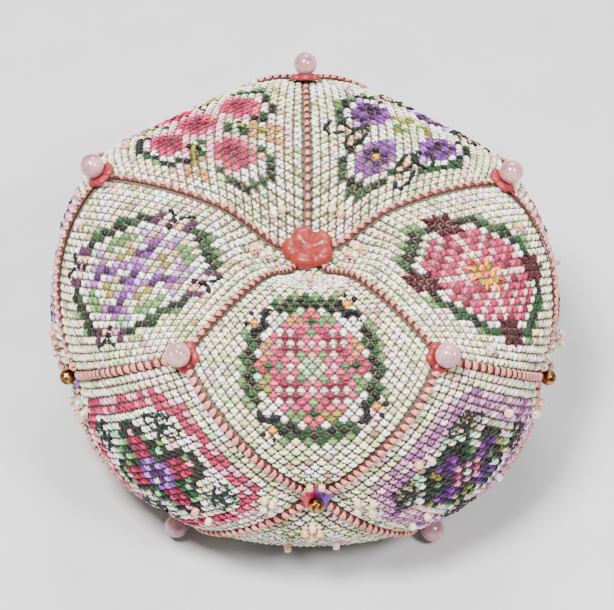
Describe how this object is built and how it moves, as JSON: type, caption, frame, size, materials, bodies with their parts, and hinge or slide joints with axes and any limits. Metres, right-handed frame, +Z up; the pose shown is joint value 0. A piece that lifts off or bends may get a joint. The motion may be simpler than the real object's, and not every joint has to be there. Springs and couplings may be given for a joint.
{
  "type": "biscornu",
  "caption": "Stuffed pincushion ball of embroidered square panels whipped together at the edges, drawn in under a flower button, with beads sewn on its corners.",
  "frame": {"origin": "on the surface it rests on, below the middle of its overall width and depth", "axes": "+Z up through the flower button, -Y towards the panel that faces the viewer, +X to the right"},
  "size_m": [0.1199, 0.1223, 0.0739],
  "materials": {
    "embroidered_linen": "cross-stitched cotton floss, matt",
    "rose_floss": "whipped cotton floss, soft sheen",
    "coral_glass": "pressed glass, glossy and milky",
    "pearl": "pearl coating with a soft shine",
    "bronze_bead": "faceted bead with a metallic bronze coating"
  },
  "bodies": {
    "root": {"cushion_body": "embroidered_linen", "button_flower": "coral_glass", "flower_upper_1": "coral_glass", "pearl_upper_1": "pearl", "flower_upper_2": "coral_glass", "pearl_upper_2": "pearl", "flower_upper_3": "coral_glass", "pearl_upper_3": "pearl", "flower_upper_4": "coral_glass", "pearl_upper_4": "pearl", "flower_upper_5": "coral_glass", "pearl_upper_5": "pearl", "flower_equator_1": "coral_glass", "bronze_equator_1": "bronze_bead", "flower_equator_2": "coral_glass", "bronze_equator_2": "bronze_bead", "flower_equator_3": "coral_glass", "bronze_equator_3": "bronze_bead", "flower_equator_4": "coral_glass", "bronze_equator_4": "bronze_bead", "flower_equator_5": "coral_glass", "bronze_equator_5": "bronze_bead", "flower_lower_1": "coral_glass", "pearl_lower_1": "pearl", "flower_lower_2": "coral_glass", "pearl_lower_2": "pearl", "flower_lower_3": "coral_glass", "pearl_lower_3": "pearl", "flower_lower_4": "coral_glass", "pearl_lower_4": "pearl", "flower_lower_5": "coral_glass", "pearl_lower_5": "pearl", "seam_top_upper_1": "rose_floss", "seam_top_upper_2": "rose_floss", "seam_top_upper_3": "rose_floss", "seam_top_upper_4": "rose_floss", "seam_top_upper_5": "rose_floss", "seam_upper_equator_1": "rose_floss", "seam_upper_equator_2": "rose_floss", "seam_upper_equator_3": "rose_floss", "seam_upper_equator_4": "rose_floss", "seam_upper_equator_5": "rose_floss", "seam_upper_equator_6": "rose_floss", "seam_upper_equator_7": "rose_floss", "seam_upper_equator_8": "rose_floss", "seam_upper_equator_9": "rose_floss", "seam_upper_equator_10": "rose_floss", "seam_equator_lower_1": "rose_floss", "seam_equator_lower_2": "rose_floss", "seam_equator_lower_3": "rose_floss", "seam_equator_lower_4": "rose_floss", "seam_equator_lower_5": "rose_floss", "seam_equator_lower_6": "rose_floss", "seam_equator_lower_7": "rose_floss", "seam_equator_lower_8": "rose_floss", "seam_equator_lower_9": "rose_floss", "seam_equator_lower_10": "rose_floss"}
  },
  "joints": []
}
